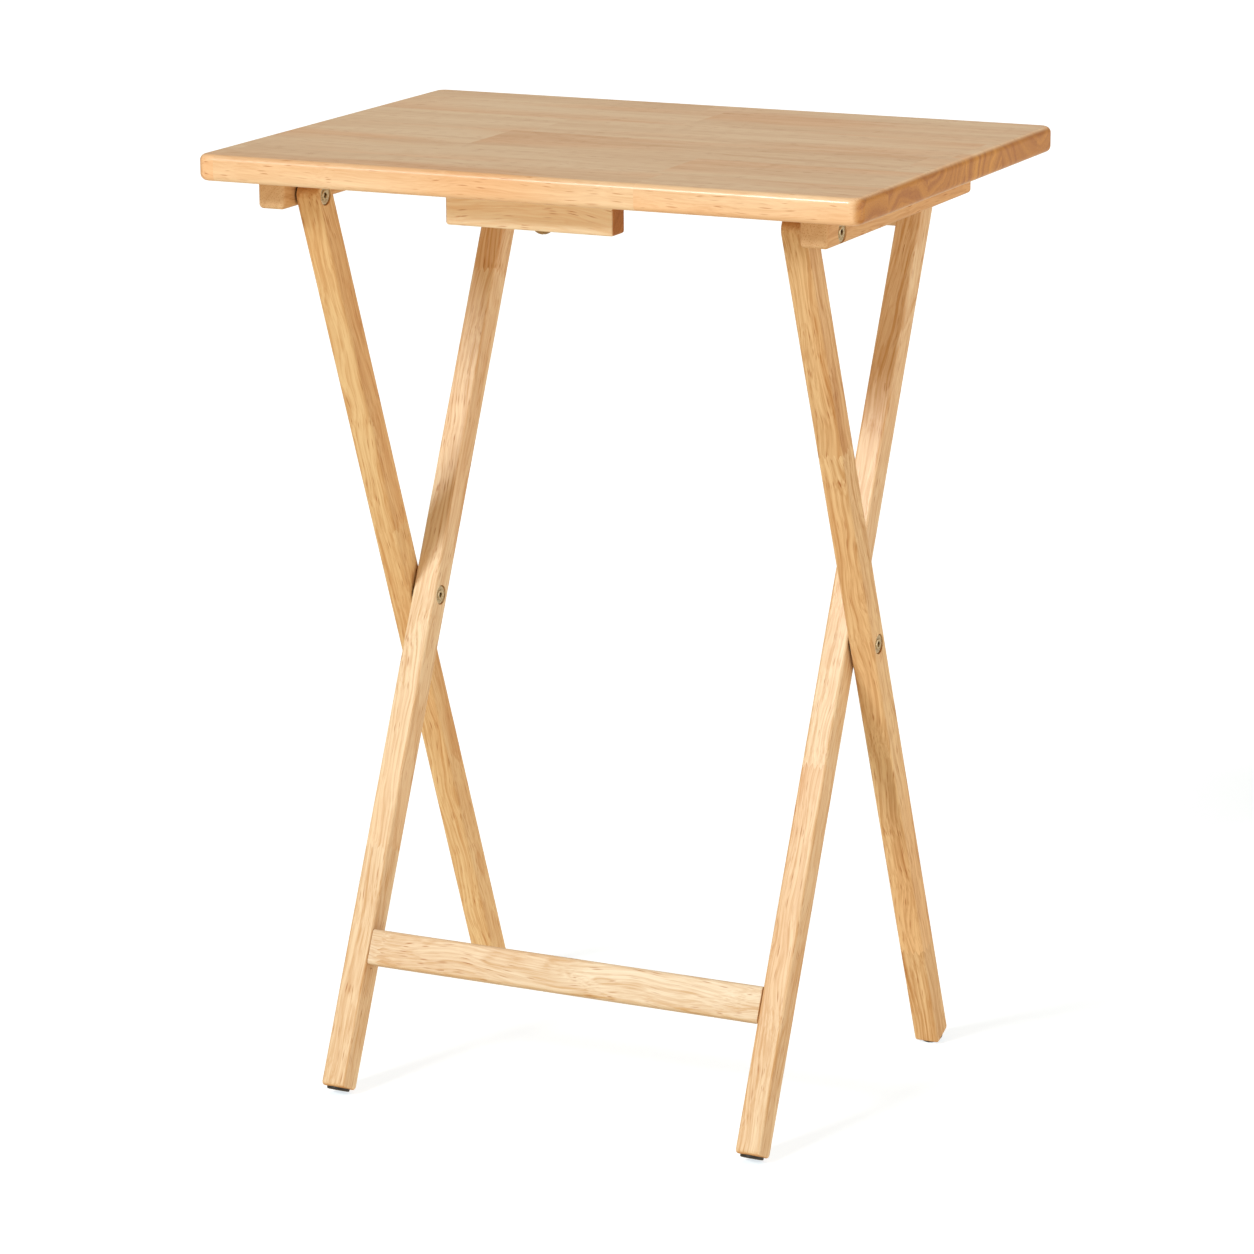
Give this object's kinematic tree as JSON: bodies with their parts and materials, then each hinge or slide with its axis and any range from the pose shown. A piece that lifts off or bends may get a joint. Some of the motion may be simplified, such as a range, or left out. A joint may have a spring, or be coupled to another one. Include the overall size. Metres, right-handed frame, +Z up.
{
  "type": "folding tray table",
  "caption": "Wooden folding tray table: rectangular solid top on two crossed pairs of legs that scissor shut as the top lifts off its latch rail.",
  "frame": {"origin": "on the floor, under the middle of the top, with the table open", "axes": "+X along the long side of the top, +Y to the back, +Z up"},
  "size_m": [0.48, 0.35, 0.66],
  "materials": {
    "top_wood": "clear satin lacquer on edge-glued light hardwood staves",
    "leg_wood": "clear satin lacquer on light hardwood with fine dark pores",
    "batten_wood": "clear satin lacquer",
    "dowel_wood": "plain fluted beech, unfinished",
    "pivot_brass": "antique brass plating, satin",
    "hanger_brass": "brown brass, satin",
    "screw_steel": "yellow zinc plating",
    "nail_steel": "bright zinc plating",
    "washer_nylon": "dark nylon",
    "glide_plastic": "moulded, fine matt texture"
  },
  "bodies": {
    "outer_frame": {"left_outer_leg": "leg_wood", "right_outer_leg": "leg_wood", "left_outer_glide": "glide_plastic", "right_outer_glide": "glide_plastic", "outer_glide_nails": "nail_steel", "left_cross_bolt": "pivot_brass", "right_cross_bolt": "pivot_brass", "left_cross_nut": "pivot_brass", "right_cross_nut": "pivot_brass", "left_cross_washer": "washer_nylon", "right_cross_washer": "washer_nylon"},
    "inner_frame": {"left_inner_leg": "leg_wood", "right_inner_leg": "leg_wood", "front_stretcher": "leg_wood", "stretcher_dowels": "dowel_wood", "latch_rail": "leg_wood", "left_inner_glide": "glide_plastic", "right_inner_glide": "glide_plastic", "inner_glide_nails": "nail_steel"},
    "top": {"tabletop": "top_wood", "left_cleat": "batten_wood", "right_cleat": "batten_wood", "cleat_screws": "screw_steel", "hanger_block": "batten_wood", "hanger_screw": "hanger_brass", "left_catch": "batten_wood", "right_catch": "batten_wood", "catch_screws": "screw_steel", "left_top_bolt": "pivot_brass", "right_top_bolt": "pivot_brass", "left_top_nut": "pivot_brass", "right_top_nut": "pivot_brass", "left_top_washer": "washer_nylon", "right_top_washer": "washer_nylon"}
  },
  "joints": [
    {"name": "top_lift", "type": "hinge", "parent": "outer_frame", "child": "top", "pos_m": [0, -0.12516, 0.6295], "axis": [1, 0, 0], "range_deg": [0, 111.5]},
    {"name": "leg_fold", "type": "hinge", "parent": "outer_frame", "child": "inner_frame", "pos_m": [0, -0.006, 0.327], "axis": [1, 0, 0], "range_deg": [0, 46.3]}
  ],
  "couplings": [
    {"joint": "leg_fold", "follows": "top_lift", "ratio": 0.415}
  ]
}
